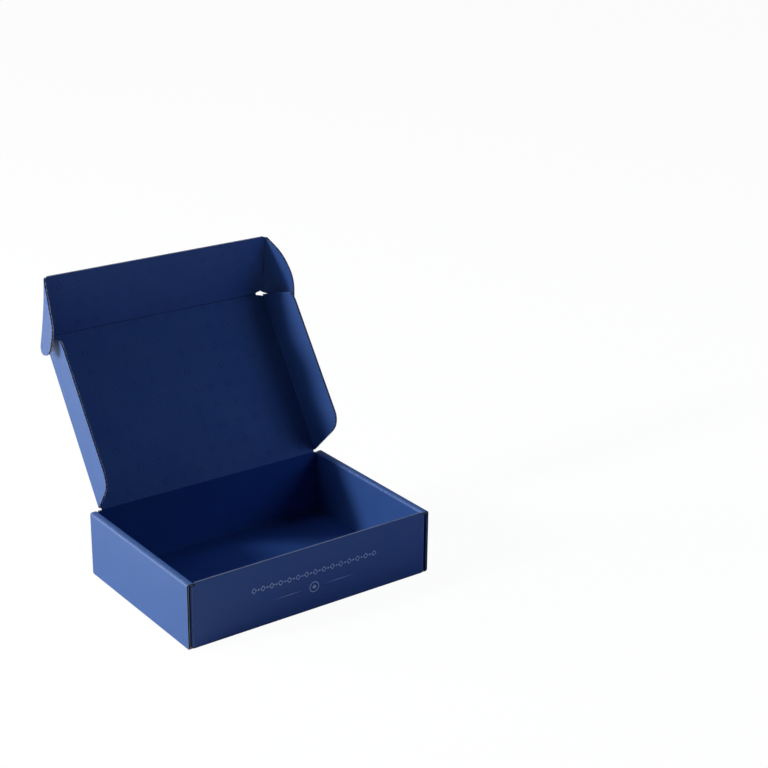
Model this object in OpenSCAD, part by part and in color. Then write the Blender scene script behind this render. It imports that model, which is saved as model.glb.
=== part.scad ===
// Roll-end mailer box folded from one blank of fine-fluted corrugated board, standing open.
// Origin: centre of the base, on the underside. +Z is up, the front wall faces -Y.
// The folded blank is drawn as the tray that keeps its shape, and the flaps that swing on its creases.

/* [Tray] */
// Width of the box outside, over both side walls
box_w = 240; // [150:1:320]
// Depth of the box outside, front face to back face
box_d = 162; // [110:1:240]
// Height of the walls
box_h = 59; // [40:1:90]
// Width of the rolled top of a side wall, outer face to inner face
roll_w = 7.2; // [6.6:0.1:12]
// Length of the dust flaps folded inside the side walls
dust_len = 52; // [20:1:54]

/* [Board] */
// Thickness of the corrugated board
board = 1.7; // [1.2:0.1:2]
// Inside radius of a folded crease
crease_r = 0.5; // [0.2:0.1:1]
// Clearance between a flap's rounded root and the edge it folds on
fold_gap = 0.15; // [0.1:0.05:0.5]
// Clearance between panels of the blank that lie face to face
layer_gap = 0.4; // [0.2:0.1:0.5]

/* [Lid] */
// Width of the lid between the folds of its wings
lid_w = 222.4; // [130:0.2:302]
// Length of the lid from the hinge fold to the tuck fold
lid_len = 157; // [100:1:235]
// Angle that the lid stands open from shut
lid_open = 124; // [90:1:170]

/* [Wings] */
// Reach of a wing from its fold at the widest
wing_reach = 46; // [20:1:60]
// Angle of a wing from flat
wing_fold = 83; // [70:1:95]

/* [Tuck flap] */
// Length of the tuck flap from its fold
tuck_len = 57; // [30:1:80]
// Angle of the tuck flap from flat
tuck_fold = 41; // [0:1:90]
// Radius of the tuck flap's free corners
tuck_corner_r = 5; // [2:1:12]

/* [Ears] */
// Reach of an ear from its fold at the widest
ear_reach = 38; // [20:1:45]
// Angle of an ear from flat
ear_fold = 70; // [0:1:80]

/* [Locking tabs] */
// Width of a tab that locks the inner side wall in the base
tab_w = 18; // [10:1:30]
// Distance between the middles of the two tabs of one side
tab_spacing = 78; // [45:1:100]
// Clearance of a tab in its slot
tab_gap = 0.4; // [0.2:0.1:0.8]

/* [Hidden] */
$fn = 48;
blue = "#2f4f86";

// Folds
bend_r = board + crease_r;
root_r = board / 2;
edge_back = root_r + fold_gap;
inner_x = box_w / 2 - roll_w;
wall_end = roll_w / 2 - board / 2;
flap_x = box_w / 2 - wall_end;
shoulder_z = box_h - bend_r - layer_gap;
tall_x = inner_x - layer_gap;
flap_z = board + layer_gap;
roll_set = 0.2;
// How far a flat panel runs into the crease that it joins
lap = 0.1;

// Places of the swinging flaps
lid_lift = root_r + layer_gap;
hinge_y = box_d / 2 - root_r;
hinge_z = box_h + lid_lift;
hinge_set = 3;
hinge_half = lid_w / 2 - hinge_set;
ear_x = lid_w / 2 + layer_gap;

// Outline of a wing, as places along the fold and reaches from it, with a notch of relief at its front end
wing_set = 1.5;
wing_front = lid_len - wing_set;
wing_back = 3;
relief = 5.5;
wing_front_taper = 0.3;
wing_back_taper = 0.2;
wing_slope = 3;
wing_front_r = 12;
wing_back_r = 16;

// Outline of an ear, as places along the fold and reaches from it
ear_start = 5;
ear_set = 2;
ear_end = tuck_len - ear_set;
ear_drop = 4;
ear_high = tuck_len * 0.46;
ear_shoulder = [ear_reach * 0.55, tuck_len * 0.81];
ear_low_r = 10;
ear_high_r = 14;
ear_shoulder_r = 20;

// Points of an arc that rounds the corner at b between a and c with radius r
function unit(v) = v / norm(v);
function corner(a, b, c, r, n = 8) =
    let (u = unit(a - b), w = unit(c - b), half = acos(u * w) / 2, reach = r / tan(half))
    let (mid = b + unit(u + w) * r / sin(half), p = b + u * reach, q = b + w * reach)
    let (a0 = atan2(p[1] - mid[1], p[0] - mid[0]), turn = atan2(q[1] - mid[1], q[0] - mid[0]) - a0)
    let (sweep = turn > 180 ? turn - 360 : turn < -180 ? turn + 360 : turn)
    [for (i = [0 : n]) mid + r * [cos(a0 + sweep * i / n), sin(a0 + sweep * i / n)]];

// Quarter of a folded crease, seen along the fold
module bend(from) {
    rotate(from) intersection() {
        difference() {
            circle(bend_r);
            circle(crease_r);
        }
        square(bend_r);
    }
}

// One side wall seen from the front: base fold, outer panel, rolled top with its two creases
module side_section() {
    out = box_w / 2;
    translate([out - bend_r, bend_r]) bend(270);
    translate([out - board, bend_r]) square([board, box_h - 2 * bend_r]);
    translate([out - bend_r, box_h - bend_r]) bend(0);
    translate([inner_x + bend_r, box_h - board]) square([roll_w - 2 * bend_r, board]);
    translate([inner_x + bend_r, box_h - bend_r]) bend(90);
}

// Inner panel of a side wall with the two tabs that lock in the base
module inner_side() {
    run = box_d - 2 * board - 2 * layer_gap;
    top = box_h - bend_r + lap;
    translate([inner_x, -run / 2, flap_z]) cube([board, run, top - flap_z]);
    for (s = [-1, 1])
        translate([inner_x, s * tab_spacing / 2 - tab_w / 2, layer_gap]) cube([board, tab_w, top / 2]);
}

module side_wall() {
    rotate([90, 0, 0])
        linear_extrude(box_d - 2 * roll_set, center = true) side_section();
    inner_side();
}

// Base with the slots of the locking tabs
module base() {
    in = bend_r - lap;
    difference() {
        translate([-box_w / 2 + in, -box_d / 2 + in, 0])
            cube([box_w - 2 * in, box_d - 2 * in, board]);
        for (side = [-1, 1], s = [-1, 1])
            translate([side * (inner_x + board / 2), s * tab_spacing / 2, board / 2])
                cube([board + 2 * tab_gap, tab_w + 2 * tab_gap, board + 1], center = true);
    }
}

// End wall at the front: its base fold, the panel up to top, and a dust flap folded back at each end
module end_wall(top) {
    flat_x = flap_x - bend_r;
    face = box_d / 2;
    rotate([90, 0, 90])
        linear_extrude(2 * flat_x, center = true) translate([bend_r - face, bend_r]) bend(180);
    low = bend_r - lap;
    translate([-flat_x - lap, -face, low]) cube([2 * (flat_x + lap), board, shoulder_z - low]);
    translate([-tall_x, -face, low]) cube([2 * tall_x, board, top - low]);
    for (side = [0, 1]) mirror([side, 0, 0]) {
        translate([flat_x, bend_r - face, flap_z]) linear_extrude(shoulder_z - flap_z) bend(270);
        translate([flap_x - board, bend_r - lap - face, flap_z])
            cube([board, dust_len + lap, shoulder_z - flap_z]);
    }
}

// Everything of the blank that keeps its shape once the box is set up
module tray() {
    color(blue) {
        base();
        for (side = [0, 1]) mirror([side, 0, 0]) side_wall();
        end_wall(box_h);
        mirror([0, 1, 0]) end_wall(hinge_z - edge_back);
    }
}

// Frames of the flaps: x along the hinge, y away from the fold, z towards the inside of the box
module on_lid() {
    translate([0, hinge_y, hinge_z]) rotate([180 - lid_open, 0, 0]) children();
}

module on_tuck() {
    on_lid() translate([0, lid_len, 0]) rotate([tuck_fold, 0, 0]) children();
}

// Rounded root of a flap, along the fold at x = 0 from y = from to y = to
module root(from, to) {
    translate([0, from, 0]) rotate([-90, 0, 0]) cylinder(r = root_r, h = to - from);
}

module sheet() {
    linear_extrude(board, center = true) children();
}

module lid() {
    edge = lid_w / 2 - edge_back;
    front = lid_len - edge_back;
    color(blue) on_lid() {
        rotate([0, 0, -90]) root(-hinge_half, hinge_half);
        sheet() polygon([
            [-hinge_half, 0], [hinge_half, 0], [hinge_half, wing_back], [edge, wing_back + 1],
            [edge, front], [-edge, front], [-edge, wing_back + 1], [-hinge_half, wing_back]
        ]);
    }
}

// Outline of the right wing, from its fold at x = 0
module wing_outline() {
    back_low = [0, wing_back];
    back_far = [wing_reach, wing_back + wing_reach * wing_back_taper];
    front_far = [wing_reach - wing_slope, wing_front - (wing_reach - wing_slope) * wing_front_taper];
    front_low = [relief, wing_front - relief * wing_front_taper];
    polygon(concat(
        [front_low, [0, wing_front - relief], back_low],
        corner(back_low, back_far, front_far, wing_back_r),
        corner(back_far, front_far, front_low, wing_front_r)
    ));
}

module wing() {
    root(wing_back, wing_front - relief);
    sheet() wing_outline();
}

module right_wing() {
    color(blue) on_lid() translate([lid_w / 2, 0, 0]) rotate([0, -wing_fold, 0]) wing();
}

module left_wing() {
    mirror([1, 0, 0]) right_wing();
}

module tuck_flap() {
    edge = ear_x - edge_back;
    near = [edge, 0];
    far = [edge, tuck_len];
    color(blue) on_tuck() {
        rotate([0, 0, -90]) root(-edge, edge);
        sheet() polygon(concat(
            [[-edge, 0], near],
            corner(near, far, [-edge, tuck_len], tuck_corner_r),
            corner(far, [-edge, tuck_len], [-edge, 0], tuck_corner_r)
        ));
    }
}

// Outline of the right ear: steep at the lid's end, long and low at the free end
module ear_outline() {
    start = [0, ear_start];
    low = [ear_reach, -ear_drop];
    high = [ear_reach, ear_high];
    end = [0, ear_end];
    polygon(concat(
        [end, start],
        corner(start, low, high, ear_low_r),
        corner(low, high, ear_shoulder, ear_high_r),
        corner(high, ear_shoulder, end, ear_shoulder_r)
    ));
}

module ear() {
    root(ear_start, ear_end);
    sheet() ear_outline();
}

module right_ear() {
    color(blue) on_tuck() translate([ear_x, 0, 0]) rotate([0, -ear_fold, 0]) ear();
}

module left_ear() {
    mirror([1, 0, 0]) right_ear();
}

tray();
lid();
left_wing();
right_wing();
tuck_flap();
left_ear();
right_ear();
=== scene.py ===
# %% [markdown]
# # A mailer box, dressed as real corrugated board
#
# The CAD model gives the box's panels as plain solids in their true places. This notebook replaces
# each of them with board as it comes off the machine: two printed liners with a wave of paper
# between them, so that every cut edge shows its flutes. Every fold gets a crease.
#
# All sizes are in millimetres until a vertex is made, and the frame is the CAD's: the origin is at
# the middle of the base, +Z is up, and the front wall faces -Y.

# %% Load the imported model
import math

import bmesh
import bpy
import numpy as np
from mathutils import Matrix, Vector


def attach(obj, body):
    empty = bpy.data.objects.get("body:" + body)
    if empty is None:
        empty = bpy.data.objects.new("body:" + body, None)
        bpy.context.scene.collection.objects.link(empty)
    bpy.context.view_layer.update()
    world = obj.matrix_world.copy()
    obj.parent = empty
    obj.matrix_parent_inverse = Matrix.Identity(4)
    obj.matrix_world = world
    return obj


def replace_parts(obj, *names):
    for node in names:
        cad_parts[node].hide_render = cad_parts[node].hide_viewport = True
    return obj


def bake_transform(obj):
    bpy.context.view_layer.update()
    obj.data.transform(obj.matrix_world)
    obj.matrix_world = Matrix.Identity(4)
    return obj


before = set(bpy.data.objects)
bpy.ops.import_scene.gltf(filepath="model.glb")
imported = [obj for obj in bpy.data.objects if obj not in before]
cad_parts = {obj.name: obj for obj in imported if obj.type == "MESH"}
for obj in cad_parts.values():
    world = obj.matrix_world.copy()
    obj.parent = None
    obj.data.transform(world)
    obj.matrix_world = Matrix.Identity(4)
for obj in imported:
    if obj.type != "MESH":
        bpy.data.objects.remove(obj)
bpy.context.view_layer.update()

# %% [markdown]
# ## Sizes
#
# These are the CAD source's own numbers. The board is E-flute: 1.7 mm thick, with a wave every 3.3
# mm. A step in an outline is made by two rows that lie a hair apart. Where a wave or a fold shows,
# the rows are close.

# %% Sizes of the box and its board
MM = 0.001
BOX_W, BOX_D, BOX_H = 240, 162, 59
ROLL_W, DUST_LEN = 7.2, 52
BOARD, CREASE_R, LAYER_GAP = 1.7, 0.5, 0.4
LID_W, LID_LEN, LID_OPEN = 222.4, 157, 124
WING_REACH, WING_FOLD, RELIEF, WING_BACK = 46, 83, 1.9, 0.8
TUCK_LEN, TUCK_FOLD, TUCK_CORNER = 57, 41, 1.6
EAR_REACH, EAR_DROP, EAR_FOLD, EAR_START = 38, 4, 70, 1.0
TAB_W, TAB_SPACING, TAB_GAP = 18, 78, 0.1

LINER = 0.26
FLUTE_PAPER = 0.2
PITCH = 3.3
HALF = BOARD / 2
BEND = BOARD + CREASE_R
MID_R = CREASE_R + HALF
TRIM = 1.4
WAVE = HALF - LINER - FLUTE_PAPER / 2
HINGE_Y, HINGE_Z = BOX_D / 2 - HALF, BOX_H + HALF + LAYER_GAP
EAR_X = LID_W / 2 + LAYER_GAP
HAIR = 0.01
FLUTE_STEP, FOLD_STEP = PITCH / 10, 0.3
print(f"the wave is {2 * WAVE:.2f} mm high, and the lid is {LID_W / PITCH:.0f} waves wide")

# %% [markdown]
# ## A sheet of paper as a closed slab
#
# Corrugated board is three sheets of paper, so the first tool here makes one sheet. It could be a
# box that is scaled, but a wing, an ear and a wall have outlines and bends, so the sheet starts as
# a flat grid instead: `u` runs along the flutes and `w` across them. Each row of the grid is cut to
# where the outline starts and ends, the grid is extruded to give the paper its thickness, and
# `place` then folds or curls every vertex into the model. The UV map keeps the flat places, so
# print and fibres follow the paper round each fold. Recalculating the normals can turn a thin bent
# shell inside out, so the sign of its volume is looked at as well.

# %% Faces and vertices
def unique(items):
    """Each item once, in its own order, so that a mesh comes out the same on every run."""
    return list(dict.fromkeys(items))


def faces_at(vertices):
    return unique(f for v in vertices for f in v.link_faces)


def lift(bm, faces):
    """Extrudes the faces and returns the new vertices, which still lie on the old ones."""
    made = bmesh.ops.extrude_face_region(bm, geom=faces)["geom"]
    return [g for g in made if isinstance(g, bmesh.types.BMVert)]


def turn_outwards(bm, shell):
    """Turns the faces of a closed shell outwards. Inside out, its volume comes out negative."""
    bmesh.ops.recalc_face_normals(bm, faces=shell)
    middle = sum((f.calc_center_median() for f in shell), Vector()) / len(shell)
    for f in shell:
        f.normal_update()
    if sum(f.normal.dot(f.calc_center_median() - middle) * f.calc_area() for f in shell) < 0:
        bmesh.ops.reverse_faces(bm, faces=shell)

# %% Slab of paper
BLUE, RAW, INNER, FLUTE = 0, 1, 2, 3
SAME_PLACE = 0.0001


def unworn(u, w, level):
    return 0.0


def slab(bm, rows, cuts, low, high, place, paint, rub_and_painted_light=unworn):
    """Adds one paper layer between the heights low(u, w) and high(u, w).

    paint is (underside, rim, top side). rub_and_painted_light gives the value at a place, above 0
    for rubbing and a painted highlight and below 0 for painted shade in a groove, where level is 0
    on the underside and 1 on the top side."""
    under_paint, rim_paint, top_paint = paint
    uv = bm.loops.layers.uv.verify()
    wear_and_painted_light = bm.verts.layers.float.get("wear_and_painted_light") or bm.verts.layers.float.new("wear_and_painted_light")
    sheet = bmesh.ops.create_grid(
        bm, x_segments=len(cuts) - 1, y_segments=len(rows) - 1, size=1)["verts"]
    for k, v in enumerate(sheet):
        w, start, end = rows[k // len(cuts)]
        v.co = min(max(cuts[k % len(cuts)], start), end), w, 0
    bmesh.ops.remove_doubles(bm, verts=sheet, dist=SAME_PLACE)
    under = faces_at(v for v in sheet if v.is_valid)
    top = lift(bm, under)
    for v in top:
        v.co.z = 1
    shell = unique(under + faces_at(top))
    for f in shell:
        raised = sum(v.co.z > 0 for v in f.verts)
        paints = {0: under_paint, len(f.verts): top_paint}
        f.material_index = paints.get(raised, rim_paint)
        for loop in f.loops:
            loop[uv].uv = loop.vert.co.xy * MM
    for v in unique(v for f in shell for v in f.verts):
        u, w, level = v.co
        v[wear_and_painted_light] = rub_and_painted_light(u, w, level)
        v.co = Vector(place(u, w, (high if level else low)(u, w))) * MM
    turn_outwards(bm, shell)


def flat(height):
    return lambda u, w: height


def wave(side):
    """Height of one face of the fluted paper, thicker on its slopes to keep its thickness."""
    thickness = 0.9 * FLUTE_PAPER

    def height(u, w):
        turn = 2 * math.pi * w / PITCH
        slope = WAVE * 2 * math.pi / PITCH * math.cos(turn)
        return WAVE * math.sin(turn) + side * thickness / 2 * math.hypot(1, slope)
    return height

# %% [markdown]
# ## Board: liner, flutes, liner
#
# The flutes show only at cut edges, so the wave is made in fine rows while the liners need few.

# %% Board from three papers
def steps(start, end, size):
    count = max(1, math.ceil((end - start) / size - 1e-9))
    return [start + (end - start) * i / count for i in range(count + 1)]


def board(bm, liner_rows, flute_rows, cuts, place, rub_and_painted_light=unworn, inner_rub_and_painted_light=unworn, rim=RAW,
          inner=BLUE):
    """Adds a liner, the flutes and another liner. The underside is the outside of the box.

    rub_and_painted_light and inner_rub_and_painted_light give the rubbing, painted highlight and
    painted shade of the outer and the inner liner, and rim and inner the finish of their edges and
    of the inside."""
    slab(bm, liner_rows, cuts, flat(-HALF), flat(LINER - HALF), place, (BLUE, rim, RAW), rub_and_painted_light)
    slab(bm, liner_rows, cuts, flat(HALF - LINER), flat(HALF), place, (RAW, rim, inner), inner_rub_and_painted_light)
    for rows in flute_rows:
        slab(bm, rows, cuts, wave(-1), wave(1), place, (FLUTE, FLUTE, FLUTE))


SHARP_ANGLE = math.radians(38)
pieces = []


def finish_piece(name, bm, body, mirror=False):
    """Makes the object, mirrored across the box's middle for the left-hand twin of a flap."""
    if mirror:
        bmesh.ops.scale(bm, vec=(-1, 1, 1), verts=bm.verts)
        bmesh.ops.reverse_faces(bm, faces=bm.faces)
    for f in bm.faces:
        f.smooth = True
    mesh = bpy.data.meshes.new(name)
    bm.to_mesh(mesh)
    bm.free()
    mesh.set_sharp_from_angle(angle=SHARP_ANGLE)
    piece = bpy.data.objects.new(name, mesh)
    bpy.context.scene.collection.objects.link(piece)
    if isinstance(body, str):
        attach(piece, body)
    else:
        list(body)
        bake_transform(piece)
    pieces.append(piece)
    return piece

# %% [markdown]
# ## Folds as paths
#
# A wall that rolls over is one strip of board that follows a path. The path is given by its
# corners, and each corner is rounded to the radius of a crease.

# %% A path with rounded corners
# Fold crowns are paler from rubbing and from a painted highlight; the roll's top is a painted
# highlight where the real roll is domed.
FOLD_WEAR_AND_HIGHLIGHT, ROLL_WEAR_AND_HIGHLIGHT = 0.35, 0.6


def unit(v):
    return np.array(v, float) / np.linalg.norm(v)


def bent(points, radius, arc_steps=7, crowns=None, panels=None):
    """The middle line of a folded board, as (lengths so far, points, directions to the left,
    rubbing and painted highlight).

    crowns says how pale each corner is painted and panels how pale each stretch between them is,
    for rubbing and a painted highlight."""
    points = [np.array(p, float) for p in points]
    crowns = crowns or [FOLD_WEAR_AND_HIGHLIGHT] * (len(points) - 2)
    panels = panels or [0.0] * (len(points) - 1)
    line, rub_and_painted_light = [points[0]], [panels[0]]
    for k, (before, here, after) in enumerate(zip(points, points[1:], points[2:])):
        a, b = unit(before - here), unit(after - here)
        half = math.acos(np.clip(a @ b, -1, 1)) / 2
        centre = here + unit(a + b) * radius / math.sin(half)
        start = here + a * radius / math.tan(half)
        turn = math.pi - 2 * half
        side = np.sign(a[0] * b[1] - a[1] * b[0])
        for i in range(arc_steps + 1):
            angle = -side * turn * i / arc_steps
            c, s = math.cos(angle), math.sin(angle)
            x, y = start - centre
            line.append(centre + np.array([c * x - s * y, s * x + c * y]))
            share = i / arc_steps
            between = panels[k] + (panels[k + 1] - panels[k]) * share
            rub_and_painted_light.append(between + crowns[k] * math.sin(math.pi * share))
    line.append(points[-1])
    rub_and_painted_light.append(panels[-1])
    kept = [i for i, p in enumerate(line)
            if i == 0 or np.linalg.norm(p - line[i - 1]) > 1e-6]
    line, rub_and_painted_light = [line[i] for i in kept], [rub_and_painted_light[i] for i in kept]
    lengths = [0.0]
    for p, q in zip(line, line[1:]):
        lengths.append(lengths[-1] + float(np.linalg.norm(q - p)))
    lefts = []
    for i in range(len(line)):
        along = line[min(i + 1, len(line) - 1)] - line[max(i - 1, 0)]
        if 0 < i < len(line) - 1:
            along = unit(line[i] - line[i - 1]) + unit(line[i + 1] - line[i])
        along = unit(along)
        lefts.append(np.array([-along[1], along[0]]))
    return lengths, np.array(line), np.array(lefts), rub_and_painted_light


def follow(path):
    """A function that gives the point at a length along the path and a height to its left."""
    lengths, line, lefts, _ = path

    def at(length, height):
        x, y = (np.interp(length, lengths, line[:, k])
                + height * np.interp(length, lengths, lefts[:, k]) for k in (0, 1))
        return x, y
    return at


def rub_and_painted_light_on(path):
    """A function that gives a board's rubbing and painted highlight along the path, which is most
    on its folds.
    """
    lengths, _, _, rub_and_painted_light = path
    return lambda u, w, level: float(np.interp(u, lengths, rub_and_painted_light))


def merged(*lists):
    """The values of all the lists, in order and each once."""
    return sorted({round(v, 6) for values in lists for v in values})

# %% [markdown]
# ## The tray's side walls
#
# Each is one strip: it leaves the base, goes up outside, rolls over the top with two creases and
# comes down inside, where two tabs lock in slots of the base. The raw ends of the roll show at the
# front and the back. The roll's narrow top is painted paler all over, a painted highlight where the
# real roll is domed towards the lamp, and its inner crease is paler still, partly from rubbing and
# partly a painted highlight.

# %% Path of a side wall
SIDE_MARGIN = 0.2
SIDE_END = BOX_D / 2 - SIDE_MARGIN
INNER_END = BOX_D / 2 - BOARD - LAYER_GAP
ROLL_X = BOX_W / 2 - ROLL_W
# The roll's top is painted paler as a painted highlight, and its inner crease by rubbing and a
# painted highlight.
side_path = bent(
    [(BOX_W / 2 - BEND, HALF), (BOX_W / 2 - HALF, HALF), (BOX_W / 2 - HALF, BOX_H - HALF),
     (ROLL_X + HALF, BOX_H - HALF), (ROLL_X + HALF, LAYER_GAP)],
    MID_R, crowns=[FOLD_WEAR_AND_HIGHLIGHT, 0.0, ROLL_WEAR_AND_HIGHLIGHT], panels=[0.0, 0.0, ROLL_WEAR_AND_HIGHLIGHT, 0.0])
side_at = follow(side_path)
side_length = side_path[0][-1]
panel_end = side_length - BOARD
roll_end = side_length - (BOX_H - BEND - LAYER_GAP) - 2 * HAIR
print(f"a side wall is one strip {side_length:.0f} mm long, from the base to its tabs")

# %% Side walls
CORNER_R, CORNER_STEPS = 3.2, 6


def side_place(u, w, h):
    x, z = side_at(u, h)
    return x, w, z


def side_row(y):
    """Where the side wall starts and ends along its path at this place along the box."""
    into_corner = max(abs(y) - (SIDE_END - CORNER_R), 0)
    start = CORNER_R - math.sqrt(max(CORNER_R ** 2 - into_corner ** 2, 0))
    if abs(y) > INNER_END:
        return y, start, roll_end
    in_tab = abs(abs(y) - TAB_SPACING / 2) < TAB_W / 2
    return y, start, side_length if in_tab else panel_end


jumps = [s * TAB_SPACING / 2 + e * TAB_W / 2 for s in (-1, 1) for e in (-1, 1)]
jumps += [-INNER_END, INNER_END]
corner_rows = [s * (SIDE_END - CORNER_R * (1 - math.sin(math.pi / 2 * k / CORNER_STEPS)))
               for s in (-1, 1) for k in range(CORNER_STEPS + 1)]
side_rows = [side_row(y) for y in merged(corner_rows, *[[y - HAIR, y + HAIR] for y in jumps])]
rim_start = INNER_END + 5 * HAIR
rim_rows = [[side_row(y) for y in steps(a, b, FLUTE_STEP)]
            for a, b in ((-SIDE_END, -rim_start), (rim_start, SIDE_END))]
for name, mirrored in (("left_side_wall", True), ("right_side_wall", False)):
    bm = bmesh.new()
    board(bm, side_rows, rim_rows, side_path[0], side_place, rub_and_painted_light_on(side_path))
    finish_piece(name, bm, "tray", mirror=mirrored)
print("a side wall's lower corners are rounded by", CORNER_R, "mm")

# %% [markdown]
# ## The end walls, with dust flaps
#
# The front wall's flutes lie along the box. Seen from above, the wall turns at each end into a dust
# flap that is folded back between the layers of the side wall, against the inner one, which leaves
# a dark gap to the outer one at each corner of the box. At its foot the same board curves under
# into the base.

# %% Path of an end wall
FACE = BOX_D / 2
FLAP_GAP = 0.2
FLAP_X = ROLL_X + 2 * BOARD + FLAP_GAP
FLAT_X, TALL_X = FLAP_X - BEND, ROLL_X - LAYER_GAP
SHOULDER_Z = BOX_H - BEND - LAYER_GAP
FOOT = MID_R * math.pi / 2

plan_path = bent([(-FLAP_X + HALF, BEND - FACE + DUST_LEN), (-FLAP_X + HALF, HALF - FACE),
                  (FLAP_X - HALF, HALF - FACE), (FLAP_X - HALF, BEND - FACE + DUST_LEN)], MID_R)
plan_at = follow(plan_path)
plan_mid = plan_path[0][-1] / 2
print(f"an end wall and its two dust flaps are {2 * plan_mid:.0f} mm long before folding")

# %% End walls
WIDE, TOP_STEP = 60, 20


def end_place(u, w, h):
    """w is the height up the wall, negative round the fold at its foot. The inside is at +h."""
    if w >= 0:
        x, y = plan_at(u, h)
        return x, y, w + BEND
    turn = -w / MID_R
    reach = MID_R - h
    return u - plan_mid, BEND - FACE - reach * math.cos(turn), BEND - reach * math.sin(turn)


def end_rows(top, step):
    """Rows from the foot's fold to the top edge, narrower where the side walls stand beside it."""
    shoulder = SHOULDER_Z - BEND
    reaches = [(w, FLAT_X) for w in steps(-FOOT, 0, FOLD_STEP)]
    reaches += [(w, plan_mid) for w in steps(HAIR, shoulder, step)]
    reaches += [(w, TALL_X) for w in steps(shoulder + HAIR, top - BEND, min(step, TOP_STEP))]
    return [(w, plan_mid - reach, plan_mid + reach) for w, reach in reaches]


def painted_foot_shade(u, w, level):
    """Painted shade inside the fold at the wall's foot, along its pressed groove."""
    return -math.sin(math.pi * -w / FOOT) if w < 0 else 0.0


end_cuts = merged(plan_path[0], [plan_mid + s * x for s in (-1, 1) for x in (TALL_X, FLAT_X)])
for name, top, turned in (("front_wall", BOX_H, False), ("back_wall", HINGE_Z - TRIM, True)):
    bm = bmesh.new()
    board(bm, end_rows(top, WIDE), [end_rows(top, FLUTE_STEP)], end_cuts, end_place,
          rub_and_painted_light_on(plan_path), painted_foot_shade, rim=BLUE)
    if turned:
        half_turn = Matrix.Rotation(math.pi, 3, "Z")
        bmesh.ops.rotate(bm, cent=(0, 0, 0), matrix=half_turn, verts=bm.verts)
    finish_piece(name, bm, "tray")
print(f"the front wall is {BOX_H} mm high, and the back wall {HINGE_Z - TRIM:.1f} mm")

# %% [markdown]
# ## The base and its slots
#
# The base is the plain middle of the blank. Only its two faces show, so it needs no flutes. It
# could be a box with four holes cut by booleans, but a grid whose lines run along the slots' edges
# is cleaner: the four faces in the slots are deleted, and one extrude then gives the base its
# thickness and the slots their walls.

# %% Base
SLOT_X, SLOT_Y = ROLL_X + HALF, TAB_SPACING / 2
SLOT_HALF_X, SLOT_HALF_Y = HALF + TAB_GAP, TAB_W / 2 + TAB_GAP


def grid_lines(edge, middle, half):
    """The base's edges and the edges of its slots, across one direction."""
    return merged([-edge, edge], [s * (middle + e * half) for s in (-1, 1) for e in (-1, 1)])


x_lines = grid_lines(BOX_W / 2 - BEND, SLOT_X, SLOT_HALF_X)
y_lines = grid_lines(BOX_D / 2 - BEND, SLOT_Y, SLOT_HALF_Y)


def in_slot(face):
    x, y = face.calc_center_median().xy / MM
    return abs(abs(x) - SLOT_X) < SLOT_HALF_X and abs(abs(y) - SLOT_Y) < SLOT_HALF_Y


bm = bmesh.new()
sheet = bmesh.ops.create_grid(
    bm, x_segments=len(x_lines) - 1, y_segments=len(y_lines) - 1, size=1)["verts"]
for k, v in enumerate(sheet):
    v.co = Vector((x_lines[k % len(x_lines)], y_lines[k // len(x_lines)], 0)) * MM
slots = [f for f in bm.faces if in_slot(f)]
bmesh.ops.delete(bm, geom=slots, context="FACES")
bmesh.ops.translate(bm, verts=lift(bm, bm.faces[:]), vec=(0, 0, BOARD * MM))
turn_outwards(bm, bm.faces[:])
uv = bm.loops.layers.uv.verify()
for f in bm.faces:
    f.material_index = BLUE if abs(f.normal.z) > 0.5 else RAW
    for loop in f.loops:
        loop[uv].uv = loop.vert.co.xy
base = finish_piece("base_panel", bm, "tray")
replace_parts(base, "tray")
print("the base has", len(slots), "slots for the side walls' tabs")

# %% [markdown]
# ## The flaps
#
# The lid's wings and the tuck flap's ears are die-cut: each has its own outline with rounded
# corners. The outline could be drawn as a curve and filled, but then its rim would be plain. Read
# row by row instead, from the fold to the outline, it goes through the same `board` as the walls,
# and the cut runs truly through the flutes.

# %% Outlines
def rounded(a, b, c, radius, arc_steps=10):
    """Points of the arc that rounds the corner b between a and c."""
    a, b, c = (np.array(p, float) for p in (a, b, c))
    to_a, to_c = unit(a - b), unit(c - b)
    half = math.acos(to_a @ to_c) / 2
    centre = b + unit(to_a + to_c) * radius / math.sin(half)
    start, end = b + to_a * radius / math.tan(half), b + to_c * radius / math.tan(half)
    first = math.atan2(*(start - centre)[::-1])
    sweep = (math.atan2(*(end - centre)[::-1]) - first + math.pi) % (2 * math.pi) - math.pi
    angles = [first + sweep * i / arc_steps for i in range(arc_steps + 1)]
    return [centre + radius * np.array([math.cos(angle), math.sin(angle)]) for angle in angles]


def rows_of(outline, step):
    """Rows (w, start, end) across an outline, at its own corners and every step between them."""
    points = [np.array(p, float) for p in outline]
    low, high = min(p[1] for p in points) + HAIR, max(p[1] for p in points) - HAIR
    places = merged(steps(low, high, step), [p[1] for p in points if low < p[1] < high])
    rows = []
    for w in places:
        hits = []
        for p, q in zip(points, points[1:] + points[:1]):
            if (p[1] - w) * (q[1] - w) <= 0 and p[1] != q[1]:
                hits.append(float(p[0] + (q[0] - p[0]) * (w - p[1]) / (q[1] - p[1])))
        rows.append((w, max(min(hits), 0), max(hits)))
    return rows


WING_FRONT = LID_LEN - 1.5
BACK_SLANT, FRONT_SLANT, WING_TAPER = 0.2, 0.3, 3
WING_TIP_R, WING_FRONT_R = 16, 12


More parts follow.
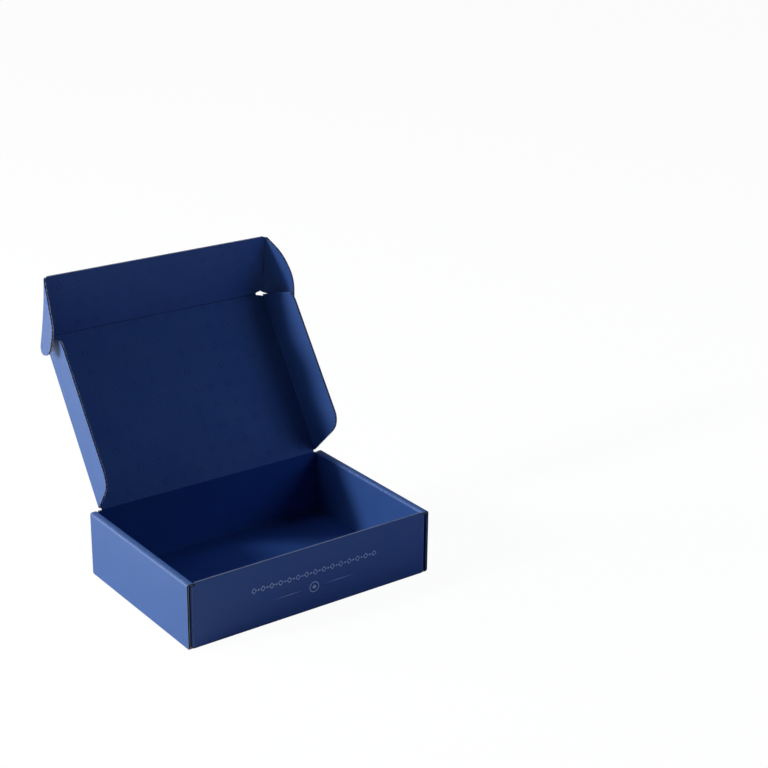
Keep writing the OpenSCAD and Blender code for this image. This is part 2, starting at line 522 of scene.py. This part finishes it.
def wing_outline():
    low, far = (0, WING_BACK), (WING_REACH, WING_TAPER + WING_REACH * BACK_SLANT)
    front_reach = WING_REACH - WING_TAPER
    front_far = (front_reach, WING_FRONT - front_reach * FRONT_SLANT)
    front_low = (RELIEF, WING_FRONT - RELIEF * FRONT_SLANT)
    at_fold = WING_FRONT - RELIEF + (RELIEF - WING_FRONT + front_low[1]) * TRIM / RELIEF
    return [front_low, (TRIM, at_fold), (TRIM, WING_BACK + BACK_SLANT * TRIM),
            *rounded(low, far, front_far, WING_TIP_R),
            *rounded(far, front_far, front_low, WING_FRONT_R)]


EAR_TIP, EAR_SHOULDER = 0.46, (0.55, 0.81)
EAR_ROOT_R, EAR_TIP_R, EAR_SHOULDER_R = 10, 28, 52


def ear_outline():
    start, end = (0, EAR_START), (0, TUCK_LEN - 0.2)
    low, high = (EAR_REACH, -EAR_DROP), (EAR_REACH, TUCK_LEN * EAR_TIP)
    shoulder = (EAR_REACH * EAR_SHOULDER[0], TUCK_LEN * EAR_SHOULDER[1])
    return [(TRIM, end[1] - 0.4), (TRIM, start[1]), *rounded(start, low, high, EAR_ROOT_R),
            *rounded(low, high, shoulder, EAR_TIP_R), *rounded(high, shoulder, end, EAR_SHOULDER_R)]

# %% Frames of the flaps
def folded(origin, degrees, axis):
    """A frame at a fold: moved to the fold, then turned round it."""
    return Matrix.Translation(origin) @ Matrix.Rotation(math.radians(degrees), 4, axis)


ON_LID = folded((0, HINGE_Y, HINGE_Z), 180 - LID_OPEN, "X")
ON_WING = ON_LID @ folded((LID_W / 2, 0, 0), -WING_FOLD, "Y")
ON_TUCK = ON_LID @ folded((0, LID_LEN, 0), TUCK_FOLD, "X")
ON_EAR = ON_TUCK @ folded((EAR_X, 0, 0), -EAR_FOLD, "Y")


def put(matrix, reach=1.0, lean=0.0, twist=0.0, bulge=0.0, length=1.0):
    """Places a flap. Its free edge leans by lean, and by twist more at its far end.

    Between the fold and the free edge it swells by bulge."""
    def place(u, w, h):
        t, far = max(u - TRIM, 0) / (reach - TRIM), w / length
        free_edge = (lean + twist * far) * t * t
        return matrix @ Vector((u, w, h + free_edge + 4 * bulge * (1 - far) * t * (1 - t)))
    return place


def flat_on(matrix):
    return lambda u, w, h: matrix @ Vector((u, w, h))

# %% [markdown]
# ## Wings and ears
#
# Board that has been creased and handled is never quite flat. The wings lean out a little at their
# free edge, and the ears swell between their fold and their tip and are twisted a little, so each
# gets a soft curve of a few millimetres. The left-hand flaps are the right-hand ones, mirrored
# across the box's middle. The liners are printed to their very edge here, so only the wave between
# them shows its brown paper.

# %% Wings and ears
ACROSS_STEPS, OUTLINE_STEP = 12, 1.5
right_wing_place = put(ON_WING, WING_REACH, lean=-0.6)
right_ear_place = put(ON_EAR, EAR_REACH, lean=0.5, twist=7.0, bulge=-4.5, length=TUCK_LEN)
for name, outline, reach, place in (("wing", wing_outline(), WING_REACH, right_wing_place),
                                    ("ear", ear_outline(), EAR_REACH, right_ear_place)):
    cuts = steps(TRIM, reach, reach / ACROSS_STEPS)
    for side in ("right", "left"):
        bm = bmesh.new()
        fine = rows_of(outline, FLUTE_STEP)
        board(bm, rows_of(outline, OUTLINE_STEP), [fine], cuts, place, rim=BLUE)
        label = f"{side}_{name}"
        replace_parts(finish_piece(label + "_board", bm, label, mirror=side == "left"), label)
print("each wing and ear is cut from board with a real wave of paper in it")

# %% [markdown]
# ## The lid and the tuck flap
#
# Both are broad plain panels. Their flutes run from side to side, so the wave shows at the left and
# right edges, where the wings and ears fold. The die cuts a slim relief into the corners where four
# flaps meet, and daylight shows through it. The outlines give the corners, and `board` does the
# rest.

# %% Lid and tuck flap
NOTCH_W, NOTCH_L = 5.5, 1.4
SHIFT = 200
lid_edge, lid_end = LID_W / 2 - TRIM, LID_LEN - TRIM
lid_outline = [
    (-lid_edge, TRIM), (lid_edge, TRIM), (lid_edge, lid_end - NOTCH_L),
    (lid_edge - NOTCH_W, lid_end), (NOTCH_W - lid_edge, lid_end), (-lid_edge, lid_end - NOTCH_L)]

tuck_edge = EAR_X - TRIM
right_root, right_tip = (tuck_edge, 0), (tuck_edge, TUCK_LEN)
left_root, left_tip = (-tuck_edge, 0), (-tuck_edge, TUCK_LEN)
tuck_outline = [
    (NOTCH_W - tuck_edge, TRIM), (tuck_edge - NOTCH_W, TRIM), (tuck_edge, TRIM + NOTCH_L),
    *rounded(right_root, right_tip, left_tip, TUCK_CORNER),
    *rounded(right_tip, left_tip, left_root, TUCK_CORNER), (-tuck_edge, TRIM + NOTCH_L)]


def wide_rows(outline, step):
    """Rows across an outline on both sides of the middle, where rows_of takes only one."""
    shifted = rows_of([(x + SHIFT, y) for x, y in outline], step)
    return [(w, a - SHIFT, b - SHIFT) for w, a, b in shifted]


for name, outline, edge, corner, step, frame_there in (
        ("lid", lid_outline, lid_edge, NOTCH_W, WIDE, ON_LID),
        ("tuck_flap", tuck_outline, tuck_edge, TUCK_CORNER, TOP_STEP, ON_TUCK)):
    bm = bmesh.new()
    cuts = [-edge, corner - edge, 0, edge - corner, edge]
    board(bm, wide_rows(outline, step), [wide_rows(outline, FLUTE_STEP)], cuts,
          flat_on(frame_there), rim=BLUE, inner=INNER)
    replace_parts(finish_piece(name + "_board", bm, name), name)
print(f"the relief at each front corner of the lid reaches {NOTCH_W} mm in")

# %% [markdown]
# ## Creases
#
# At a fold the board is crushed, so a crease is thinner in its middle: its outside is a crown,
# paler from rubbing and a painted highlight, and its inside a groove darkened with painted shade.
# Each crease is a strip of its own that bends between the two panels it joins, so it follows the
# flap when it swings.

# %% Creases
# Crowns are paler from rubbing and a painted highlight; the groove value is painted shade.
CRUSHED, CROWN_WEAR_AND_HIGHLIGHT, PAINTED_GROOVE_SHADE = 0.2, 0.45, -1.0
NARROWNESS = 4.2


def across_crease(w, length):
    """How near a place is to the middle of a crease: 1 in its middle and nearly 0 at its edges."""
    return math.exp(-((w / length - 0.5) * NARROWNESS) ** 2)


def crushed(side, length):
    """Half the board's thickness, less in the middle of a crease of this length."""
    return lambda u, w: side * HALF * (1 - CRUSHED * across_crease(w, length))


def crease_rub_and_painted_light(length, crown):
    """Values across a crease: above nothing on its crown for rubbing and a painted highlight, and
    below nothing in the groove behind it for painted shade.
    """
    def rub_and_painted_light(u, w, level):
        return (CROWN_WEAR_AND_HIGHLIGHT if level == crown else PAINTED_GROOVE_SHADE) * across_crease(w, length)
    return rub_and_painted_light


def crease(name, matrix, angle, span, bodies, along_x, mirrors=(False,)):
    """A crease at the frame's axis, between two bodies.

    along_x creases run with the flutes, and the others along the fold of a wing or ear."""
    turned, crown = math.radians(angle), 0 if angle > 0 else 1
    path = bent([(-TRIM, 0), (0, 0), (TRIM * math.cos(turned), TRIM * math.sin(turned))], MID_R, 10)
    at, length = follow(path), path[0][-1]

    def place(u, w, h):
        x, z = at(w, h)
        return matrix @ Vector((u, x, z) if along_x else (x, u, z))

    rows = [(w, *span) for w in merged(path[0], steps(0, length, FOLD_STEP))]
    for mirrored in mirrors:
        bm = bmesh.new()
        slab(bm, rows, list(span), crushed(-1, length), crushed(1, length), place,
             (BLUE, RAW, BLUE), crease_rub_and_painted_light(length, crown))
        ends = [Vector(place(sum(span) / 2, w, 0)) * MM for w in (0, length)]
        flip = Vector((-1 if mirrored else 1, 1, 1))
        side = "left_" if mirrored else ("right_" if len(mirrors) > 1 else "")
        first, second = (b.replace("right", "left") if mirrored else b for b in bodies)
        finish_piece(side + name, bm, (first, second, ends[0] * flip, ends[1] * flip),
                     mirror=mirrored)


crease("lid_crease", folded((0, HINGE_Y, HINGE_Z), 90, "X"), 90 - LID_OPEN,
       (-lid_edge, lid_edge), ("tray", "lid"), True)
crease("tuck_crease", ON_LID @ Matrix.Translation((0, LID_LEN, 0)), TUCK_FOLD,
       (NOTCH_W - lid_edge, lid_edge - NOTCH_W), ("lid", "tuck_flap"), True)
crease("wing_crease", ON_LID @ Matrix.Translation((LID_W / 2, 0, 0)), WING_FOLD,
       (WING_BACK + 0.2, WING_FRONT - RELIEF), ("lid", "right_wing"), False, (False, True))
crease("ear_crease", ON_TUCK @ Matrix.Translation((EAR_X, 0, 0)), EAR_FOLD,
       (EAR_START + 0.3, TUCK_LEN - 1), ("tuck_flap", "right_ear"), False, (False, True))

# %% [markdown]
# ## Ornament on the front wall
#
# The front wall carries a fine pale print. It could be a picture on the surface, but a thin film of
# ink with its own outline stays sharp from close by and needs no image. Here it is a plain border:
# a row of small open lozenges with dots between them, and below it a fine rule that is broken by a
# ring. Each mark starts as a capped circle of few sides; an inset and a deleted face open it, and
# an extrude gives the film its thickness.

# %% A printed mark
INK_FILM = 0.03
SUNK = 0.01


def mark(bm, x, z, radius, sides, line=None, stretch=1.0):
    """A small printed shape on the front wall, open where line gives its outline's width."""
    circle = bmesh.ops.create_circle(bm, cap_ends=True, segments=sides, radius=radius)["verts"]
    faces = faces_at(circle)
    if line:
        rim = bmesh.ops.inset_individual(bm, faces=faces, thickness=line)["faces"]
        bmesh.ops.delete(bm, geom=faces, context="FACES")
        faces = rim
    top = lift(bm, faces)
    bmesh.ops.translate(bm, verts=top, vec=(0, 0, INK_FILM + SUNK))
    shell = unique(faces_at(top) + faces)
    to_wall = (Matrix.Scale(MM, 4) @ folded((x, SUNK - BOX_D / 2, z), 90, "X")
               @ Matrix.Diagonal((1, stretch, 1, 1)))
    bmesh.ops.transform(bm, matrix=to_wall, verts=unique(v for f in shell for v in f.verts))
    turn_outwards(bm, shell)

# %% The border
LOZENGES, ROW_START, ROW_END, ROW_Z = 15, -58.0, 61.9, 35.0
RING_X, RULE_Z, RULE_H = 0.9, 21.4, 0.5

bm = bmesh.new()
spacing = (ROW_END - ROW_START) / (LOZENGES - 1)
for i in range(LOZENGES):
    x = ROW_START + spacing * i
    mark(bm, x, ROW_Z, radius=2.7, sides=4, line=0.9)
    if i < LOZENGES - 1:
        mark(bm, x + spacing / 2, ROW_Z, radius=0.85, sides=12)
mark(bm, RING_X, RULE_Z, radius=4.8, sides=40, line=0.8)
mark(bm, RING_X, RULE_Z, radius=2.1, sides=4)
for start, end in ((-37.7, -7.6), (9.6, 42.7)):
    width = end - start
    mark(bm, (start + end) / 2, RULE_Z, radius=width / 2, sides=4, stretch=RULE_H / width)
finish_piece("front_ornament", bm, "tray")
print("the border has", LOZENGES, "lozenges, and its film of ink is", INK_FILM, "mm thick")

# %% [markdown]
# ## Paper grain
#
# Printed board is not one flat blue. The ink sits on fibres that lie along the flutes, a faint
# washboard of the waves shows through the liner, and handling leaves soft patches with a slightly
# different shine. All three are used on print, on raw paper and on the pale ink, so they are one
# node group that is built once. It reads the UV map, which holds each sheet's flat places in
# metres.

# %% Node helpers
def new_group(name, inputs, outputs):
    """An empty shader node group. inputs are (name, socket kind, default), outputs are names."""
    group = bpy.data.node_groups.new(name, "ShaderNodeTree")
    for label, kind, default in inputs:
        socket = group.interface.new_socket(label, in_out="INPUT", socket_type=kind)
        if default is not None:
            socket.default_value = default
    for label in outputs:
        group.interface.new_socket(label, in_out="OUTPUT", socket_type="NodeSocketFloat")
    return group, group.nodes.new("NodeGroupInput"), group.nodes.new("NodeGroupOutput")


def node(tree, kind, links=(), **settings):
    """A node with its settings, and with links given as (input, a socket or a value)."""
    made = tree.nodes.new(kind)
    for key, value in settings.items():
        setattr(made, key, value)
    for key, value in dict(links).items():
        if isinstance(value, bpy.types.NodeSocket):
            tree.links.new(value, made.inputs[key])
        else:
            made.inputs[key].default_value = value
    return made


def maths(tree, operation, *values, clamp=False):
    """The outcome of a Math node on one or two values or sockets."""
    links = dict(enumerate(values))
    made = node(tree, "ShaderNodeMath", links, operation=operation, use_clamp=clamp)
    return made.outputs[0]


def ramp(tree, value, low, high, to_low=0.0, to_high=1.0, **settings):
    """The value, spread from the range low to high onto the range to_low to to_high."""
    links = {"Value": value, "From Min": low, "From Max": high, "To Min": to_low, "To Max": to_high}
    return node(tree, "ShaderNodeMapRange", links, **settings).outputs[0]


def mixed(tree, share, first, second):
    """A colour between two colours or sockets, all second where the share is 1."""
    made = node(tree, "ShaderNodeMix", {0: share, 6: first, 7: second}, data_type="RGBA")
    return made.outputs[2]


def flute_wave(tree, places):
    """A sine across the flutes, one turn for each wave of the board."""
    across = node(tree, "ShaderNodeSeparateXYZ", {0: places}).outputs[1]
    turns = maths(tree, "MULTIPLY", across, 2 * math.pi / (PITCH * MM))
    return maths(tree, "SINE", turns)

# %% Paper grain
FIBRE_SCALE, PATCH_SCALE, RIPPLE_SHARE = (900, 3200, 1), 26.0, 0.35
grain, inside, outside = new_group(
    "paper grain",
    [("Vector", "NodeSocketVector", None), ("Fibre", "NodeSocketFloat", 1.0),
     ("Washboard", "NodeSocketFloat", 1.0)],
    ["Shade", "Patch", "Height"])
places = inside.outputs["Vector"]
stretched = node(grain, "ShaderNodeMapping", {0: places, 3: FIBRE_SCALE}).outputs[0]
fibres = node(grain, "ShaderNodeTexNoise", {
    "Vector": stretched, "Scale": 1.0, "Detail": 3.0, "Roughness": 0.6}).outputs[0]
patches = node(grain, "ShaderNodeTexNoise", {
    "Vector": places, "Scale": PATCH_SCALE, "Detail": 4.0, "Roughness": 0.55}).outputs[0]
ripple = maths(grain, "MULTIPLY", flute_wave(grain, places), inside.outputs["Washboard"])
fibre_part = maths(grain, "MULTIPLY", fibres, inside.outputs["Fibre"])
height = maths(grain, "ADD", fibre_part, maths(grain, "MULTIPLY", ripple, RIPPLE_SHARE))
shade = maths(grain, "MULTIPLY", maths(grain, "ADD", fibres, patches), 0.5)
for label, socket in (("Shade", shade), ("Patch", patches), ("Height", height)):
    grain.links.new(socket, outside.inputs[label])
print("group:", grain.name, [s.name for s in grain.interface.items_tree])

# %% [markdown]
# ## Rubbed folds, with painted highlights and painted groove shade
#
# Where board is folded, rubbing wears the ink thin on the crown of the fold, so it looks paler and
# duller than the panels; the crowns are painted paler still, as a painted highlight where they
# would catch the lamp. Inside the fold is a pressed groove, and the shade in it is painted as a
# darker blue. The meshes carry a `wear_and_painted_light` attribute that is above 0 on a crown, 0
# on a panel and below 0 in a groove. The group breaks the crowns' value up with noise, because real
# rubbing is patchy, and gives one mask for the crowns and one for the painted groove shade.

# %% Rubbed folds and painted light
SPECKLE_SCALE, GROOVE_SHADE_STRENGTH = 420.0, 0.75
fold_rub_and_painted_light, inside, outside = new_group(
    "rubbed folds and painted light",
    [("Vector", "NodeSocketVector", None), ("Rub And Painted Light", "NodeSocketFloat", 0.0),
     ("Amount", "NodeSocketFloat", 0.5)],
    ["Mask", "Painted Groove Shade"])
speckle = node(fold_rub_and_painted_light, "ShaderNodeTexNoise", {
    "Vector": inside.outputs["Vector"], "Scale": SPECKLE_SCALE, "Detail": 3.0, "Roughness": 0.6})
spread = ramp(fold_rub_and_painted_light, speckle.outputs[0], 0.35, 0.65, 0.35, 1.0)
patchy = maths(fold_rub_and_painted_light, "MULTIPLY", spread, inside.outputs["Rub And Painted Light"])
# The crowns' mask: partly rubbing, partly a painted highlight.
crowns = maths(fold_rub_and_painted_light, "MULTIPLY", patchy, inside.outputs["Amount"], clamp=True)
# Painted shade in the grooves, from the value below 0.
groove_shade = maths(fold_rub_and_painted_light, "MULTIPLY", inside.outputs["Rub And Painted Light"], -GROOVE_SHADE_STRENGTH, clamp=True)
fold_rub_and_painted_light.links.new(crowns, outside.inputs["Mask"])
fold_rub_and_painted_light.links.new(groove_shade, outside.inputs["Painted Groove Shade"])
print("group:", fold_rub_and_painted_light.name)

# %% [markdown]
# ## Pressed rings
#
# The insides of the lid and the tuck flap carry a faint pattern that is pressed into the liner. It
# is so shallow that it only shows in the shading, so it is a mask for a bump and not geometry: the
# flat places are cut into squares of 18 mm, and the distance from each square's middle gives a
# plain ring.

# %% Pressed rings
RING_SPACING, RING_RADIUS = 0.018, 0.13
pressed, inside, outside = new_group(
    "pressed rings",
    [("Vector", "NodeSocketVector", None), ("Spacing", "NodeSocketFloat", RING_SPACING)],
    ["Mask"])
spacing = inside.outputs["Spacing"]
spaced = node(pressed, "ShaderNodeCombineXYZ", {0: spacing, 1: spacing, 2: 1.0}).outputs[0]
cells = node(pressed, "ShaderNodeVectorMath", {0: inside.outputs["Vector"], 1: spaced},
             operation="DIVIDE")
square = node(pressed, "ShaderNodeVectorMath", {0: cells.outputs[0]}, operation="FRACTION")
centred = node(pressed, "ShaderNodeVectorMath", {0: square.outputs[0], 1: (0.5, 0.5, 0.0)},
               operation="SUBTRACT")
from_middle = node(pressed, "ShaderNodeVectorMath", {0: centred.outputs[0]}, operation="LENGTH")
from_ring = maths(pressed, "SUBTRACT", from_middle.outputs["Value"], RING_RADIUS)
ring = ramp(pressed, maths(pressed, "ABSOLUTE", from_ring), 0.02, 0.06, 1.0, 0.0,
            interpolation_type="SMOOTHSTEP")
pressed.links.new(ring, outside.inputs["Mask"])
print("group:", pressed.name)

# %% [markdown]
# ## Finishes
#
# There are four papers. The blue print is satin: a deep blue with a soft sheen and a slightly
# uneven shine. The raw edge is brown recycled paper whose fibres are coarse and which takes light
# dully. The flutes' colour carries painted light: a painted shade between their glued ridges and a
# painted highlight on the ridges, so a cut edge looks like a dotted line. The pale ink is thin, so
# the blue shows through it in patches. Each material owns its Principled shader, and the groups
# only give it masks.

# %% A paper
GRAIN_DEPTH = 0.00006


def coloured(*rgb):
    return (*rgb, 1)


def paper(name, dark, light, roughness, fibre, washboard, bump, specular=0.4):
    """A material of printed or raw paper, between a dark and a light colour.

    Returns the material with two sockets: the places on its sheet, and its colour."""
    material = bpy.data.materials.new(name)
    material.use_nodes = True
    tree = material.node_tree
    shader = tree.nodes["Principled BSDF"]
    shader.inputs["Specular IOR Level"].default_value = specular
    places = node(tree, "ShaderNodeTexCoord").outputs["UV"]
    grained = node(tree, "ShaderNodeGroup", node_tree=grain)
    tree.links.new(places, grained.inputs["Vector"])
    grained.inputs["Fibre"].default_value = fibre
    grained.inputs["Washboard"].default_value = washboard
    colour = mixed(tree, grained.outputs["Shade"], coloured(*dark), coloured(*light))
    tree.links.new(colour, shader.inputs["Base Color"])
    shine = ramp(tree, grained.outputs["Patch"], 0.3, 0.7, *roughness)
    tree.links.new(shine, shader.inputs["Roughness"])
    bumped = node(tree, "ShaderNodeBump", {
        "Strength": bump, "Distance": GRAIN_DEPTH, "Height": grained.outputs["Height"]})
    tree.links.new(bumped.outputs[0], shader.inputs["Normal"])
    return material, places, colour

# %% Blue print
# Crowns are paler from rubbing and a painted highlight; grooves are darker with painted shade.
RUBBED_HIGHLIGHT_BLUE, PAINTED_GROOVE_SHADE_BLUE = coloured(0.24, 0.38, 0.72), coloured(0.004, 0.014, 0.06)
RING_BLUE = coloured(0.010, 0.035, 0.14)
RUB_AND_HIGHLIGHT_AMOUNT, RING_DEPTH, RING_TINT = 0.65, 0.0002, 0.12


def printed(name, ring_strength):
    """The blue print, paler on the crowns of its folds from rubbing and a painted highlight, darker
    in their grooves with painted shade, and with rings where ring_strength isn't 0.
    """
    material, places, colour = paper(
        name, dark=(0.020, 0.067, 0.236), light=(0.032, 0.097, 0.324), roughness=(0.50, 0.60),
        fibre=0.6, washboard=0.5, bump=0.25)
    tree = material.node_tree
    shader = tree.nodes["Principled BSDF"]
    wear_and_painted_light = node(tree, "ShaderNodeAttribute", attribute_name="wear_and_painted_light").outputs["Fac"]
    rub_and_painted_light_here = node(tree, "ShaderNodeGroup", node_tree=fold_rub_and_painted_light)
    tree.links.new(places, rub_and_painted_light_here.inputs["Vector"])
    tree.links.new(wear_and_painted_light, rub_and_painted_light_here.inputs["Rub And Painted Light"])
    rub_and_painted_light_here.inputs["Amount"].default_value = RUB_AND_HIGHLIGHT_AMOUNT
    colour = mixed(tree, rub_and_painted_light_here.outputs["Mask"], colour, RUBBED_HIGHLIGHT_BLUE)
    colour = mixed(tree, rub_and_painted_light_here.outputs["Painted Groove Shade"], colour, PAINTED_GROOVE_SHADE_BLUE)
    if ring_strength:
        pressed_here = node(tree, "ShaderNodeGroup", node_tree=pressed)
        tree.links.new(places, pressed_here.inputs["Vector"])
        rings = pressed_here.outputs["Mask"]
        grained_normal = shader.inputs["Normal"].links[0].from_socket
        sunk = node(tree, "ShaderNodeBump", {
            "Strength": ring_strength, "Distance": RING_DEPTH, "Height": rings,
            "Normal": grained_normal}, invert=True)
        tree.links.new(sunk.outputs[0], shader.inputs["Normal"])
        colour = mixed(tree, maths(tree, "MULTIPLY", rings, RING_TINT), colour, RING_BLUE)
    tree.links.new(colour, shader.inputs["Base Color"])
    return material


blue_print, pressed_print = printed("blue print", 0), printed("pressed blue print", 0.8)

# %% Raw paper, flutes and pale ink
# A painted shade between the flutes' glued ridges.
PAINTED_FLUTE_SHADE = coloured(0.045, 0.040, 0.045)
RAW_SURFACE = dict(roughness=(0.78, 0.90), fibre=1.0, washboard=0.0, bump=0.6, specular=0.3)
INK_SURFACE = dict(roughness=(0.50, 0.62), fibre=0.6, washboard=0.0, bump=0.25)
raw_paper, _, _ = paper("raw paper", (0.28, 0.25, 0.25), (0.68, 0.64, 0.65), **RAW_SURFACE)
pale_ink, _, _ = paper("pale ink", (0.32, 0.38, 0.56), (0.60, 0.66, 0.84), **INK_SURFACE)
flute_paper, places, colour = paper(
    "flute paper", (0.50, 0.49, 0.50), (0.90, 0.89, 0.92), **RAW_SURFACE)
tree = flute_paper.node_tree
# A painted highlight on each glued ridge, fading to the painted shade between ridges, once per
# wave.
lit_ridges = ramp(tree, flute_wave(tree, places), 0.1, 0.9)
dotted = mixed(tree, lit_ridges, PAINTED_FLUTE_SHADE, colour)
tree.links.new(dotted, tree.nodes["Principled BSDF"].inputs["Base Color"])

board_finishes = (blue_print, raw_paper, pressed_print, flute_paper)
for piece in pieces:
    for finish in (pale_ink,) if piece.name == "front_ornament" else board_finishes:
        piece.data.materials.append(finish)
print("finishes:", [m.name for m in (*board_finishes, pale_ink)], "on", len(pieces), "pieces")

# %% [markdown]
# ## Floor and backdrop
#
# The box stands on a white sweep that is far brighter than the box. Lighting a floor to pure white
# would flood the box too, so the floor shows white to the camera by itself and is plain pale paper
# to every other ray. A part of it stays diffuse, so the box still leaves a faint shadow where it
# stands.

# %% What a ray meets
GLOSSY_SHARE = 0.25


def seen_directly(tree):
    """How much of the white background a ray meets: all of it from the camera and through glass.

    A gloss gets only some of it."""
    path = node(tree, "ShaderNodeLightPath")
    glossy = maths(tree, "MULTIPLY", path.outputs["Is Glossy Ray"], GLOSSY_SHARE)
    straight = maths(tree, "MAXIMUM", path.outputs["Is Camera Ray"], glossy)
    return maths(tree, "MAXIMUM", straight, path.outputs["Is Transmission Ray"])

# %% Floor
FLOOR_REACH = 6
bm = bmesh.new()
bmesh.ops.create_grid(bm, x_segments=1, y_segments=1, size=FLOOR_REACH)
floor_mesh = bpy.data.meshes.new("floor")
bm.to_mesh(floor_mesh)
bm.free()
floor = bpy.data.objects.new("floor", floor_mesh)
bpy.context.scene.collection.objects.link(floor)

sweep = bpy.data.materials.new("white sweep")
sweep.use_nodes = True
tree = sweep.node_tree
pale = tree.nodes["Principled BSDF"]
pale.inputs["Base Color"].default_value = coloured(0.9, 0.9, 0.9)
pale.inputs["Roughness"].default_value = 0.9
glow = node(tree, "ShaderNodeEmission", {"Color": coloured(1, 1, 1), "Strength": 0.965})
shadowed = node(tree, "ShaderNodeBsdfDiffuse", {"Color": coloured(0.06, 0.06, 0.06)})
shown = node(tree, "ShaderNodeAddShader", {0: glow.outputs[0], 1: shadowed.outputs[0]})
chosen = node(tree, "ShaderNodeMixShader", {
    0: seen_directly(tree), 1: pale.outputs[0], 2: shown.outputs[0]})
tree.links.new(chosen.outputs[0], tree.nodes["Material Output"].inputs["Surface"])
floor_mesh.materials.append(sweep)

# %% World
world = bpy.data.worlds.new("studio")
bpy.context.scene.world = world
world.use_nodes = True
tree = world.node_tree
background = tree.nodes["Background"]
background.inputs["Color"].default_value = coloured(1, 1, 1)
tree.links.new(seen_directly(tree), background.inputs["Strength"])
print("the floor is", floor.dimensions.x, "m wide")

# %% [markdown]
# ## Lamps
#
# The key lamp stands to the left, a little behind the box and low, so it lights the outsides on the
# left and reaches over the left wall to the far half of the right wall. It is a small lamp inside a
# broad dim one, as a bulb behind a soft screen is, so its shadows have a clear edge with a long
# soft start. A wide warm lamp lower down behind gives the left-hand faces their milky sheen, and
# two weak cool lamps fill the front and the inside.

# %% Lamps
LAMP_AIM = Vector((0, 0.05, 0.06))


def lamp(name, direction, distance, size, watts, colour=(1, 1, 1)):
    """A round soft lamp in this direction from the box, turned towards it."""
    made = bpy.data.objects.new(name, bpy.data.lights.new(name, "AREA"))
    bpy.context.scene.collection.objects.link(made)
    made.location = LAMP_AIM + Vector(direction).normalized() * distance
    made.rotation_euler = (LAMP_AIM - made.location).to_track_quat("-Z", "Y").to_euler()
    made.data.shape = "DISK"
    made.data.size = size
    made.data.energy = watts
    made.data.color = colour
    made.visible_camera = False


KEY_DIRECTION = (-1, 0.213, 0.41)
FAR, NEAR = 5, 1.6
lamp("key_lamp", KEY_DIRECTION, FAR, size=0.5, watts=156)
lamp("key_halo", KEY_DIRECTION, FAR, size=2.2, watts=46)
lamp("low_lamp", (-0.8, 0.6, 0.2), NEAR, size=0.6, watts=21, colour=(1.0, 0.88, 0.6))
lamp("front_fill", (0.7, -0.7, 0.5), NEAR, size=0.8, watts=4.4, colour=(0.25, 0.5, 1.0))
lamp("top_fill", (-0.3, 0.5, 1.0), NEAR, size=0.9, watts=4.6, colour=(0.2, 0.45, 1.0))

# %% [markdown]
# ## Camera
#
# The photograph looks down by about 21 degrees from the front left. The focal length is long, so
# upright edges stay nearly parallel. The camera leans by less than a degree, as the photograph
# does.

# %% Camera
AZ, EL, ROLL = (math.radians(v) for v in (-36.75, 21.07, 0.81))
forward = Vector((-math.sin(AZ) * math.cos(EL), math.cos(AZ) * math.cos(EL), -math.sin(EL)))
level = Vector((math.cos(AZ), math.sin(AZ), 0))
upward = level.cross(forward)
right = level * math.cos(ROLL) + upward * math.sin(ROLL)
up = upward * math.cos(ROLL) - level * math.sin(ROLL)
VIEW_AIM, VIEW_DISTANCE = Vector((0.2667, 0.1823, 0.060)), 1.7768
camera = bpy.data.objects.new("camera", bpy.data.cameras.new("camera"))
bpy.context.scene.collection.objects.link(camera)
camera.matrix_world = Matrix((right, up, -forward)).transposed().to_4x4()
camera.location = VIEW_AIM - forward * VIEW_DISTANCE
SENSOR, FOCAL_PIXELS, IMAGE_PIXELS = 36, 1741.65, 768
camera.data.sensor_width = SENSOR
camera.data.lens = SENSOR * FOCAL_PIXELS / IMAGE_PIXELS
bpy.context.scene.camera = camera
bpy.context.scene.view_settings.view_transform = "Standard"
print(f"the lens is {camera.data.lens:.1f} mm")
